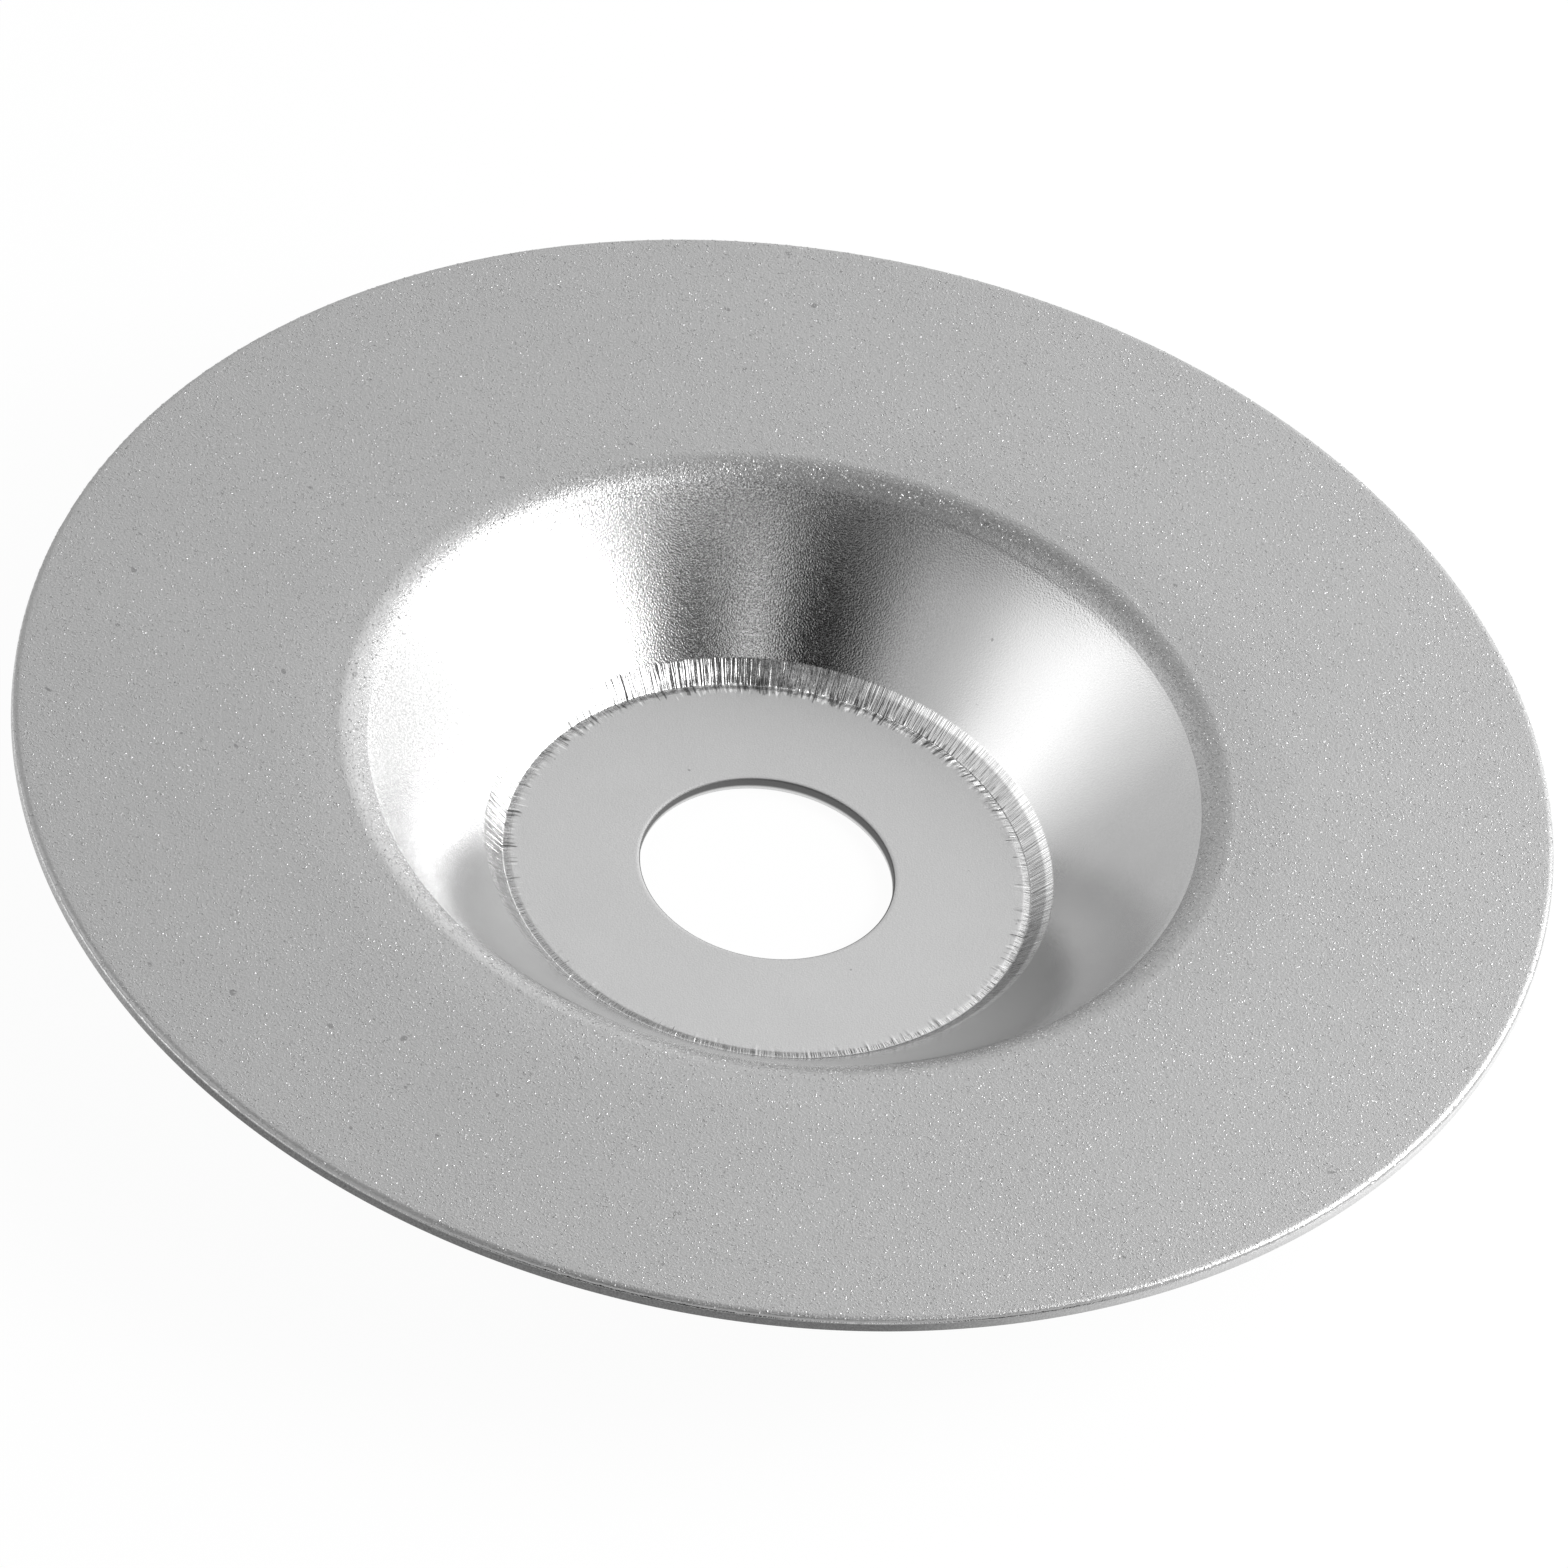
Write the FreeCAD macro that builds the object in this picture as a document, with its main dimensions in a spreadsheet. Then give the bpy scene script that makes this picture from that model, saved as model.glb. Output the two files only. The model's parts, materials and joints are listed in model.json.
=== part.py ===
import FreeCAD, Part
import math
import os
import Sketcher

# Depressed-centre diamond grinding wheel, in millimetres.
# Origin: centre of the bore, on the back face of the hub. +Z runs along the bore towards the
# side that grinds, so the dish opens upwards and the wheel lies on its hub.

DOCUMENT = FreeCAD.newDocument("grinding_wheel")

# Sizes that can be set by themselves: (alias, value, meaning).
DRIVING_SIZES = [
    ("outer_diameter", 100.0, "across the rim of the steel"),
    ("bore_diameter", 16.6, "hole for the spindle"),
    ("sheet_thickness", 1.0, "steel sheet that the dish is pressed from"),
    ("hub_flat_diameter", 33.9, "flat seat for the clamping nut, inside the dish"),
    ("dish_depth", 10.0, "front face of the hub to the steel face of the flange"),
    ("wall_angle", 43.4, "slope of the conical wall, measured from the plane of the hub"),
    ("corner_radius", 1.0, "inside corner between hub and wall, on the front"),
    ("bend_radius", 2.5, "inside of the bend between wall and flange, on the back"),
    ("bore_rounding", 0.2, "edge that the punch rolls over, on the front of the bore"),
    ("bore_break", 0.2, "broken edge on the back of the bore"),
    ("rim_rounding", 0.45, "edge that the blanking die rolls over, on the front of the rim"),
    ("rim_break", 0.2, "broken edge on the back of the rim"),
    ("nickel_thickness", 0.1, "nickel plated on the flange"),
    ("grit_height", 0.08, "diamond crystals above the nickel"),
    ("coating_margin", 0.1, "bare steel between the coating and the rounding of the rim"),
]

# Sizes that follow from them: (alias, formula, meaning).
DERIVED_SIZES = [
    ("front_bend_radius", "=bend_radius + sheet_thickness", "bend on the front of the steel"),
    (
        "wall_rise",
        "=dish_depth - (corner_radius + front_bend_radius) * (1 - cos(wall_angle))",
        "height of the straight part of the wall",
    ),
    (
        "bend_centre_radius",
        "=hub_flat_diameter / 2 + (corner_radius + front_bend_radius) * sin(wall_angle)"
        " + wall_rise / tan(wall_angle)",
        "wheel's axis to the centre of the bend",
    ),
    ("bend_centre_height", "=dish_depth - bend_radius", "back of the hub to the same centre"),
    ("nickel_bend_radius", "=front_bend_radius + nickel_thickness", "bend on the face of the nickel"),
    (
        "coated_radius",
        "=outer_diameter / 2 - rim_rounding - coating_margin",
        "wheel's axis to the outer edge of the coating",
    ),
]


def make_sheet(document):
    """Spreadsheet with one named cell for each driving and each derived size."""
    sheet = document.addObject("Spreadsheet::Sheet", "sizes")
    for row, (alias, content, meaning) in enumerate(DRIVING_SIZES + DERIVED_SIZES, start=1):
        sheet.setAlias(f"B{row}", alias)
        sheet.set(f"A{row}", meaning)
        sheet.set(f"B{row}", str(content))
    document.recompute()
    return sheet


def make_body(document, label):
    """Empty body whose label is the name of its sub-part."""
    body = document.addObject("PartDesign::Body", label)
    body.Label = label
    body.Placement = FreeCAD.Placement()
    return body


def make_sketch(body, name, plane_role):
    """Empty sketch on one of the body's own origin planes."""
    sketch = body.newObject("Sketcher::SketchObject", name)
    plane = next(item for item in body.Origin.OriginFeatures if item.Role == plane_role)
    sketch.AttachmentSupport = [(plane, "")]
    sketch.MapMode = "FlatFace"
    return sketch


def point(radius, height):
    """Point of a section sketch: distance from the wheel's axis, and height."""
    return FreeCAD.Vector(radius, height, 0)


def line(start, end):
    """Straight stretch of a section."""
    return Part.LineSegment(point(*start), point(*end))


def arc(centre, radius, first_degrees, last_degrees):
    """Counter-clockwise arc of a section."""
    circle = Part.Circle(point(*centre), FreeCAD.Vector(0, 0, 1), radius)
    return Part.ArcOfCircle(circle, math.radians(first_degrees), math.radians(last_degrees))


def constrain(sketch, kind, *arguments):
    """Geometric constraint, such as Horizontal or Tangent."""
    sketch.addConstraint(Sketcher.Constraint(kind, *arguments))


def dimension(sketch, name, formula, kind, *arguments):
    """Named dimension that takes its value from the sheet."""
    index = sketch.addConstraint(Sketcher.Constraint(kind, *arguments))
    sketch.renameConstraint(index, name)
    sketch.setExpression(f"Constraints.{name}", formula)


def revolve(body, sketch, name):
    """Full turn of a section about the wheel's axis."""
    feature = body.newObject("PartDesign::Revolution", name)
    feature.Profile = sketch
    feature.ReferenceAxis = (sketch, ["V_Axis"])
    feature.Angle = 360
    sketch.Document.recompute()
    return feature


def round_circle(body, name, diameter, height, radius_alias):
    """Fillet on the circular edge that has this diameter and this height."""
    base = body.Tip
    edge_names = []
    for number, edge in enumerate(base.Shape.Edges, start=1):
        curve = edge.Curve
        if not isinstance(curve, Part.Circle):
            continue
        same_size = math.isclose(2 * curve.Radius, diameter, abs_tol=1e-4)
        same_height = math.isclose(curve.Center.z, height, abs_tol=1e-4)
        if same_size and same_height:
            edge_names.append(f"Edge{number}")
    fillet = body.newObject("PartDesign::Fillet", name)
    fillet.Base = (base, edge_names)
    fillet.setExpression("Radius", f"sizes.{radius_alias}")
    body.Document.recompute()
    return fillet


# Sketcher's numbers for the points of a line or an arc, and for the sketch's origin.
START = 1
END = 2
CENTRE = 3
ORIGIN = (-1, START)


def dish_section(body, sheet):
    """Section of the pressed sheet: hub, corner, wall, bend and flange, one thickness all over.

    The geometry is laid down near its final place from the sheet's values, and the
    constraints then hold it. The two arcs of each bend share a centre.
    """
    slope = sheet.wall_angle
    hub_edge = sheet.hub_flat_diameter / 2
    front_corner = (hub_edge, sheet.sheet_thickness + sheet.corner_radius)
    bend = (sheet.bend_centre_radius, sheet.bend_centre_height)
    back_corner_radius = sheet.corner_radius + sheet.sheet_thickness
    rim = sheet.outer_diameter / 2
    flange_front = sheet.dish_depth + sheet.sheet_thickness
    lean = math.sin(math.radians(slope))
    rise = math.cos(math.radians(slope))

    def wall_point(centre, reach):
        """Point this far from a bend's centre, square to the wall and towards the back."""
        return (centre[0] + reach * lean, centre[1] - reach * rise)

    sketch = make_sketch(body, "dish_section", "XZ_Plane")
    hub_back = sketch.addGeometry(line((0, 0), (hub_edge, 0)))
    corner_back = sketch.addGeometry(arc(front_corner, back_corner_radius, 270, 270 + slope))
    wall_back = sketch.addGeometry(
        line(wall_point(front_corner, back_corner_radius), wall_point(bend, -sheet.bend_radius))
    )
    bend_back = sketch.addGeometry(arc(bend, sheet.bend_radius, 90, 90 + slope))
    flange_back = sketch.addGeometry(line((bend[0], sheet.dish_depth), (rim, sheet.dish_depth)))
    rim_edge = sketch.addGeometry(line((rim, sheet.dish_depth), (rim, flange_front)))
    flange_face = sketch.addGeometry(line((rim, flange_front), (bend[0], flange_front)))
    bend_front = sketch.addGeometry(arc(bend, sheet.front_bend_radius, 90, 90 + slope))
    wall_front = sketch.addGeometry(
        line(wall_point(bend, -sheet.front_bend_radius), wall_point(front_corner, sheet.corner_radius))
    )
    corner_front = sketch.addGeometry(arc(front_corner, sheet.corner_radius, 270, 270 + slope))
    hub_front = sketch.addGeometry(line((hub_edge, sheet.sheet_thickness), (0, sheet.sheet_thickness)))
    axis_edge = sketch.addGeometry(line((0, sheet.sheet_thickness), (0, 0)))

    constrain(sketch, "Coincident", hub_back, START, *ORIGIN)
    constrain(sketch, "Tangent", hub_back, END, corner_back, START)
    constrain(sketch, "Tangent", corner_back, END, wall_back, START)
    constrain(sketch, "Tangent", wall_back, END, bend_back, END)
    constrain(sketch, "Tangent", bend_back, START, flange_back, START)
    constrain(sketch, "Coincident", flange_back, END, rim_edge, START)
    constrain(sketch, "Coincident", rim_edge, END, flange_face, START)
    constrain(sketch, "Tangent", flange_face, END, bend_front, START)
    constrain(sketch, "Tangent", bend_front, END, wall_front, START)
    constrain(sketch, "Tangent", wall_front, END, corner_front, END)
    constrain(sketch, "Tangent", corner_front, START, hub_front, START)
    constrain(sketch, "Coincident", hub_front, END, axis_edge, START)
    constrain(sketch, "Coincident", axis_edge, END, hub_back, START)
    for level in (hub_back, flange_back, flange_face, hub_front):
        constrain(sketch, "Horizontal", level)
    for upright in (rim_edge, axis_edge):
        constrain(sketch, "Vertical", upright)
    constrain(sketch, "Coincident", corner_back, CENTRE, corner_front, CENTRE)
    constrain(sketch, "Coincident", bend_back, CENTRE, bend_front, CENTRE)

    dimension(sketch, "rim", "sizes.outer_diameter / 2", "DistanceX", *ORIGIN, rim_edge, START, rim)
    dimension(sketch, "hub_flat", "sizes.hub_flat_diameter / 2", "DistanceX",
              *ORIGIN, hub_front, START, hub_edge)
    dimension(sketch, "thickness", "sizes.sheet_thickness", "DistanceY",
              axis_edge, END, axis_edge, START, sheet.sheet_thickness)
    dimension(sketch, "depth", "sizes.dish_depth", "DistanceY",
              hub_front, START, flange_face, END, sheet.dish_depth)
    dimension(sketch, "slope", "sizes.wall_angle", "Angle", wall_back, math.radians(slope))
    dimension(sketch, "corner", "sizes.corner_radius", "Radius", corner_front, sheet.corner_radius)
    dimension(sketch, "bend", "sizes.bend_radius", "Radius", bend_back, sheet.bend_radius)
    dimension(sketch, "bend_over", "sizes.front_bend_radius", "Radius",
              bend_front, sheet.front_bend_radius)
    return sketch


def make_dish(document, sheet):
    """Steel dish: one blank pressed to shape, then punched, with its cut edges rounded."""
    body = make_body(document, "pressed_steel_dish")
    revolve(body, dish_section(body, sheet), "pressed_sheet")

    circle_sketch = make_sketch(body, "bore_circle", "XY_Plane")
    bore_radius = sheet.bore_diameter / 2
    circle = circle_sketch.addGeometry(
        Part.Circle(point(0, 0), FreeCAD.Vector(0, 0, 1), bore_radius)
    )
    constrain(circle_sketch, "Coincident", circle, CENTRE, *ORIGIN)
    dimension(circle_sketch, "bore", "sizes.bore_diameter / 2", "Radius", circle, bore_radius)
    bore = body.newObject("PartDesign::Pocket", "bore")
    bore.Profile = circle_sketch
    bore.Type = "ThroughAll"
    bore.Midplane = True
    document.recompute()

    flange_front = sheet.dish_depth + sheet.sheet_thickness
    round_circle(body, "bore_front_edge", sheet.bore_diameter, sheet.sheet_thickness, "bore_rounding")
    round_circle(body, "bore_back_edge", sheet.bore_diameter, 0, "bore_break")
    round_circle(body, "rim_front_edge", sheet.outer_diameter, flange_front, "rim_rounding")
    round_circle(body, "rim_back_edge", sheet.outer_diameter, sheet.dish_depth, "rim_break")
    return body


def layer_section(body, sheet, name, base_alias, thickness_alias):
    """Section of a layer on the flange: flat to near the rim, and round the bend to the wall.

    The cell base_alias is the bend radius of the surface that the layer lies on.
    """
    slope = sheet.wall_angle
    centre = (sheet.bend_centre_radius, sheet.bend_centre_height)
    under = getattr(sheet, base_alias)
    over = under + getattr(sheet, thickness_alias)
    outer = sheet.coated_radius
    lean = math.sin(math.radians(slope))
    rise = math.cos(math.radians(slope))

    def mask_point(reach):
        """Point of the masked edge, this far from the bend's centre."""
        return (centre[0] - reach * lean, centre[1] + reach * rise)

    sketch = make_sketch(body, name, "XZ_Plane")
    under_bend = sketch.addGeometry(arc(centre, under, 90, 90 + slope))
    under_flat = sketch.addGeometry(line((centre[0], centre[1] + under), (outer, centre[1] + under)))
    outer_edge = sketch.addGeometry(line((outer, centre[1] + under), (outer, centre[1] + over)))
    over_flat = sketch.addGeometry(line((outer, centre[1] + over), (centre[0], centre[1] + over)))
    over_bend = sketch.addGeometry(arc(centre, over, 90, 90 + slope))
    mask_edge = sketch.addGeometry(line(mask_point(over), mask_point(under)))

    constrain(sketch, "Tangent", under_bend, START, under_flat, START)
    constrain(sketch, "Coincident", under_flat, END, outer_edge, START)
    constrain(sketch, "Coincident", outer_edge, END, over_flat, START)
    constrain(sketch, "Tangent", over_flat, END, over_bend, START)
    constrain(sketch, "Coincident", over_bend, END, mask_edge, START)
    constrain(sketch, "Coincident", mask_edge, END, under_bend, END)
    for level in (under_flat, over_flat):
        constrain(sketch, "Horizontal", level)
    constrain(sketch, "Vertical", outer_edge)
    constrain(sketch, "Coincident", over_bend, CENTRE, under_bend, CENTRE)

    dimension(sketch, "centre_out", "sizes.bend_centre_radius", "DistanceX",
              *ORIGIN, under_bend, CENTRE, centre[0])
    dimension(sketch, "centre_up", "sizes.bend_centre_height", "DistanceY",
              *ORIGIN, under_bend, CENTRE, centre[1])
    dimension(sketch, "under", f"sizes.{base_alias}", "Radius", under_bend, under)
    dimension(sketch, "over", f"sizes.{base_alias} + sizes.{thickness_alias}", "Radius",
              over_bend, over)
    dimension(sketch, "outer", "sizes.coated_radius", "DistanceX", *ORIGIN, outer_edge, START, outer)
    dimension(sketch, "mask_under", f"sizes.{base_alias} * sin(sizes.wall_angle)", "DistanceX",
              under_bend, END, under_bend, CENTRE, under * lean)
    dimension(sketch, "mask_over",
              f"(sizes.{base_alias} + sizes.{thickness_alias}) * sin(sizes.wall_angle)", "DistanceX",
              over_bend, END, over_bend, CENTRE, over * lean)
    return sketch


def make_layer(document, sheet, label, base_alias, thickness_alias):
    """Layer of one thickness that covers the front of the flange and the bend."""
    body = make_body(document, label)
    section = layer_section(body, sheet, f"{label}_section", base_alias, thickness_alias)
    revolve(body, section, f"{label}_ring")
    return body


def check(document, bodies):
    """Stop if a feature failed or a sub-part has no sound shape."""
    for item in document.Objects:
        if "Invalid" in item.State or "Error" in item.State:
            raise RuntimeError(f"{item.Name} failed: {item.State}")
    for body in bodies:
        if body.Shape.isNull() or not body.Shape.isValid() or len(body.Shape.Solids) != 1:
            raise RuntimeError(f"{body.Label} has no sound shape")


def export(bodies):
    """One STEP file for each sub-part, named after its label."""
    os.makedirs("parts", exist_ok=True)
    for body in bodies:
        body.Shape.exportStep(f"parts/{body.Label}.step")
        print(f"{body.Label}: {body.Shape.Volume:.1f} mm3")


SHEET = make_sheet(DOCUMENT)
BODIES = [
    make_dish(DOCUMENT, SHEET),
    make_layer(DOCUMENT, SHEET, "nickel_bond", "front_bend_radius", "nickel_thickness"),
    make_layer(DOCUMENT, SHEET, "diamond_grit", "nickel_bend_radius", "grit_height"),
]
DOCUMENT.recompute()
check(DOCUMENT, BODIES)
export(BODIES)
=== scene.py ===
import json
import math

import bpy
import numpy as np
from mathutils import Matrix, Vector


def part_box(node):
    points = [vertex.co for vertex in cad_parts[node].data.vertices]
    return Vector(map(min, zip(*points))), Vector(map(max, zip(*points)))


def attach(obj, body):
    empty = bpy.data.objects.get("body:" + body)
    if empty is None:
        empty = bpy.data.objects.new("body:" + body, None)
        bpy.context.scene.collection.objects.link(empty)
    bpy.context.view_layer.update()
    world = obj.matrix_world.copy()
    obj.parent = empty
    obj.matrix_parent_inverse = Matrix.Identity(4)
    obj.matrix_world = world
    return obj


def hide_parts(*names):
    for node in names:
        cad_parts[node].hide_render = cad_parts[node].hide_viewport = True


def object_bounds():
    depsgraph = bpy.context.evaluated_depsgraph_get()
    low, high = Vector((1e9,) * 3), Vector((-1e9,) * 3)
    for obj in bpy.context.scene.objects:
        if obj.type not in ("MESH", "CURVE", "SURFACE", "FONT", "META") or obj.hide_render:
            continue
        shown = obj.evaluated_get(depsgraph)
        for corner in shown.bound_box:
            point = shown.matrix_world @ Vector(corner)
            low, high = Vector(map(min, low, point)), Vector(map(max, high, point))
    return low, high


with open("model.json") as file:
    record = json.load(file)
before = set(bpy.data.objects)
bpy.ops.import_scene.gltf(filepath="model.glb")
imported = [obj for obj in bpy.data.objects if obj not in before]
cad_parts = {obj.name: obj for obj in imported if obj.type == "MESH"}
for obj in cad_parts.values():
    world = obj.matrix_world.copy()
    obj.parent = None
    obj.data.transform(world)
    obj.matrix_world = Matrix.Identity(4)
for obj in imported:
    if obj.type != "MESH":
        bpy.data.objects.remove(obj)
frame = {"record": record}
cad_low, cad_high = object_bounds()


# Pressed steel dish
# One blank of 1 mm sheet, blanked, pressed to a flat hub, a conical wall and a flat flange,
# and punched for the spindle. The cut edges are rolled over on the front. Satin plated all over.

MM = 0.001
SHEET = 1.0 * MM
WALL_SLOPE = math.radians(43.4)
HUB_FLAT = 16.95 * MM
HUB_CORNER = 1.0 * MM
BEND_BACK = 2.5 * MM
ROLLED_EDGE = 0.45 * MM
BROKEN_EDGE = 0.2 * MM
BAND_RADIUS = 18.65 * MM
GROOVE_DEPTH = 0.07 * MM
GROOVE_WIDTH = 0.5 * MM
BORE_EDGE = 0.12 * MM
SOFT_SHOULDER = 4.5 * MM
SHOULDER_DROP = 0.11 * MM
STEEL_TURNS = 1310

rim_radius = cad_high.x
flange_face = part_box("pressed_steel_dish")[1].z
bore_radius = frame["record"]["mounts"][0]["dims"]["r_mm"] * MM
flange_back = flange_face - SHEET
corner_centre = np.array([HUB_FLAT, SHEET + HUB_CORNER])
bend_front = BEND_BACK + SHEET
wall_rise = flange_face - SHEET - (HUB_CORNER + bend_front) * (1 - math.cos(WALL_SLOPE))
bend_centre = np.array([
    HUB_FLAT + (HUB_CORNER + bend_front) * math.sin(WALL_SLOPE) + wall_rise / math.tan(WALL_SLOPE),
    flange_back - BEND_BACK,
])
wall_out = np.array([math.cos(WALL_SLOPE), math.sin(WALL_SLOPE)])
wall_face = np.array([-math.sin(WALL_SLOPE), math.cos(WALL_SLOPE)])


def straight(start, end, rings=0, hold=0.12 * MM):
    """Straight stretch of a profile: both ends, a ring near each, and rings evenly between."""
    start, end = np.array(start, float), np.array(end, float)
    near = min(hold / np.linalg.norm(end - start), 0.3)
    share = np.concatenate([[0, near], np.linspace(near, 1 - near, rings + 2)[1:-1], [1 - near, 1]])
    return start + share[:, None] * (end - start)


def rounded(centre, radius, first, last, rings):
    """Arc of a profile: centre plus radius times (cos, sin) of angles evenly from first to last."""
    angle = np.radians(np.linspace(first, last, rings))
    return np.asarray(centre) + radius * np.stack([np.cos(angle), np.sin(angle)], 1)


def eased(before, corner, after, radius, rings):
    """Arc of this radius that rounds a corner, and touches the lines to the points beside it.

    Its centre lies on the line that halves the corner's angle, radius / sin(half) away.
    """
    back, ahead = np.asarray(before) - corner, np.asarray(after) - corner
    back, ahead = back / np.linalg.norm(back), ahead / np.linalg.norm(ahead)
    half = math.acos(np.clip(back @ ahead, -1, 1)) / 2
    middle = (back + ahead) / np.linalg.norm(back + ahead)
    centre = corner + middle * radius / math.sin(half)
    first = math.degrees(math.atan2(*(corner + back * radius / math.tan(half) - centre)[::-1]))
    last = math.degrees(math.atan2(*(corner + ahead * radius / math.tan(half) - centre)[::-1]))
    return rounded(centre, radius, first, first + (last - first + 180) % 360 - 180, rings)


def joined(*stretches):
    """One profile from several that meet end to end, with each shared point kept once."""
    points = np.concatenate(stretches)
    step = np.linalg.norm(np.diff(points, axis=0), axis=1)
    return points[np.concatenate([[True], step > 1e-8])]


def profile_normals(profile):
    """Unit normals of a closed profile: its direction, by central differences, turned a quarter."""
    along = np.roll(profile, -1, 0) - np.roll(profile, 1, 0)
    along /= np.linalg.norm(along, axis=1)[:, None]
    return np.stack([along[:, 1], -along[:, 0]], 1)


def turned(radius, height, turn):
    """Surface of revolution: (radius cos turn, radius sin turn, height), each a grid."""
    return np.stack([radius * np.cos(turn), radius * np.sin(turn), height + 0 * turn], -1)


def ring_mesh(name, grid):
    """Closed ring from a grid whose rows and columns both run round and meet again."""
    rows, columns = grid.shape[:2]
    index = np.arange(rows * columns).reshape(rows, columns)
    across = np.roll(index, -1, 1)
    faces = np.stack([index, across, np.roll(across, -1, 0), np.roll(index, -1, 0)], -1)
    return faces_mesh(name, grid.reshape(-1, 3), faces.reshape(-1, 4))


def faces_mesh(name, points, faces):
    """Mesh object from an array of points and an array of faces that all have as many corners."""
    count, corners = faces.shape
    mesh = bpy.data.meshes.new(name)
    mesh.vertices.add(len(points))
    mesh.vertices.foreach_set("co", points.astype(np.float32).ravel())
    mesh.loops.add(count * corners)
    mesh.loops.foreach_set("vertex_index", faces.astype(np.int32).ravel())
    mesh.polygons.add(count)
    mesh.polygons.foreach_set("loop_start", np.arange(0, count * corners, corners, dtype=np.int32))
    mesh.update(calc_edges=True)
    mesh.validate()
    mesh.polygons.foreach_set("use_smooth", np.ones(count, bool))
    piece = bpy.data.objects.new(name, mesh)
    bpy.context.scene.collection.objects.link(piece)
    return piece


def shoulder(radius):
    """How far the pressed front face drops below the plain section at a radius.

    It is a parabola over the soft shoulder beside the bend, and fades down the wall in a line.
    """
    inwards = np.clip((bend_centre[0] + SOFT_SHOULDER - radius) / SOFT_SHOULDER, 0, 1)
    fading = np.clip((radius - BAND_RADIUS) / (bend_centre[0] - BAND_RADIUS), 0, 1)
    return SHOULDER_DROP * inwards**2 * fading


back_corner = rounded(corner_centre, HUB_CORNER + SHEET, 270, 270 + math.degrees(WALL_SLOPE), 6)
back_bend = rounded(bend_centre, BEND_BACK, 90 + math.degrees(WALL_SLOPE), 90, 5)
front_bend = rounded(bend_centre, bend_front, 90, 90 + math.degrees(WALL_SLOPE), 6)
wall_foot = corner_centre - HUB_CORNER * wall_face
band_edge = wall_foot + (BAND_RADIUS - wall_foot[0]) / wall_out[0] * wall_out
groove = wall_foot - (wall_foot[1] - SHEET + GROOVE_DEPTH) / wall_out[1] * wall_out
hub_rim = np.array([groove[0] - GROOVE_WIDTH, SHEET])
hub_edge = np.array([HUB_FLAT - 1.0 * MM, SHEET])
bore_edge = np.array([bore_radius + BORE_EDGE, SHEET])
groove_floor = eased(band_edge, groove, hub_rim, 0.15 * MM, 6)
groove_brow = eased(groove, hub_rim, hub_edge, 0.6 * MM, 4)
steel_profile = joined(
    straight((bore_radius + BROKEN_EDGE, 0), (HUB_FLAT, 0)),
    back_corner,
    straight(back_corner[-1], back_bend[0]),
    back_bend,
    straight((bend_centre[0], flange_back), (rim_radius - BROKEN_EDGE, flange_back)),
    rounded((rim_radius - BROKEN_EDGE, flange_back + BROKEN_EDGE), BROKEN_EDGE, 270, 360, 4),
    rounded((rim_radius - ROLLED_EDGE, flange_face - ROLLED_EDGE), ROLLED_EDGE, 0, 90, 6),
    straight((rim_radius - ROLLED_EDGE, flange_face), front_bend[0]),
    front_bend,
    straight(front_bend[-1], band_edge, 0, 0.3 * MM),
    straight(band_edge, groove_floor[0], 7),
    groove_floor,
    straight(groove_floor[-1], groove_brow[0], 0),
    groove_brow,
    straight(groove_brow[-1], hub_edge, 3),
    straight(hub_edge, bore_edge, 0, 0.2 * MM),
    rounded(bore_edge - (0, BORE_EDGE), BORE_EDGE, 90, 180, 4),
    rounded((bore_radius + BROKEN_EDGE, BROKEN_EDGE), BROKEN_EDGE, 180, 270, 4)[:-1],
)


# Short marks by part of the turn: first and last degree, how many, and their usual depth in mm.
SHORT_MARKS = [
    (30, 112, 230, 0.02),
    (-28, 30, 50, 0.02),
    (112, 190, 150, 0.015),
    (190, 332, 150, 0.01),
]
LONG_MARKS = 620
LONG_MARK_DEPTH = 0.012 * MM
MARK_SOFTNESS = 0.05 * MM


def drawing_marks(profile, turn, random):
    """Height of the tool's marks in the hub's corner, on a grid of profile points and turns.

    Each mark is a narrow ridge or groove: a bell curve over the turn, times a soft window from its
    own inner radius to its own outer one. Short deep ones cross the corner, most of them on one
    side, and long shallow ones run up the band to its edge.
    """
    short = sum(count for _, _, count, _ in SHORT_MARKS)
    centre = [random.uniform(first, last, count) for first, last, count, _ in SHORT_MARKS]
    depth = [random.normal(0, size, count) * MM for _, _, count, size in SHORT_MARKS]
    start = random.uniform(16.35, 16.85, short) * MM
    end = random.uniform(17.15, 17.6, short) * MM
    centre = np.radians(np.concatenate([*centre, random.uniform(0, 360, LONG_MARKS)]))
    depth = np.concatenate([*depth, random.normal(0, LONG_MARK_DEPTH, LONG_MARKS)])
    start = np.concatenate([start, random.uniform(17.0, 17.9, LONG_MARKS) * MM])
    end = np.concatenate([end, random.uniform(18.3, 18.5, LONG_MARKS) * MM])
    width = random.uniform(0.045, 0.08, short + LONG_MARKS) * MM / HUB_FLAT
    radius = profile[:, :1]
    on_front = profile[:, 1:] > 0.9 * SHEET
    opens = 1 / (1 + np.exp((start - radius) / MARK_SOFTNESS))
    closes = 1 / (1 + np.exp((radius - end) / MARK_SOFTNESS))
    away = np.angle(np.exp(1j * (turn[:, None] - centre)))
    return (opens * closes * on_front) @ (np.exp(-((away / width) ** 2)) * depth).T


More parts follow.
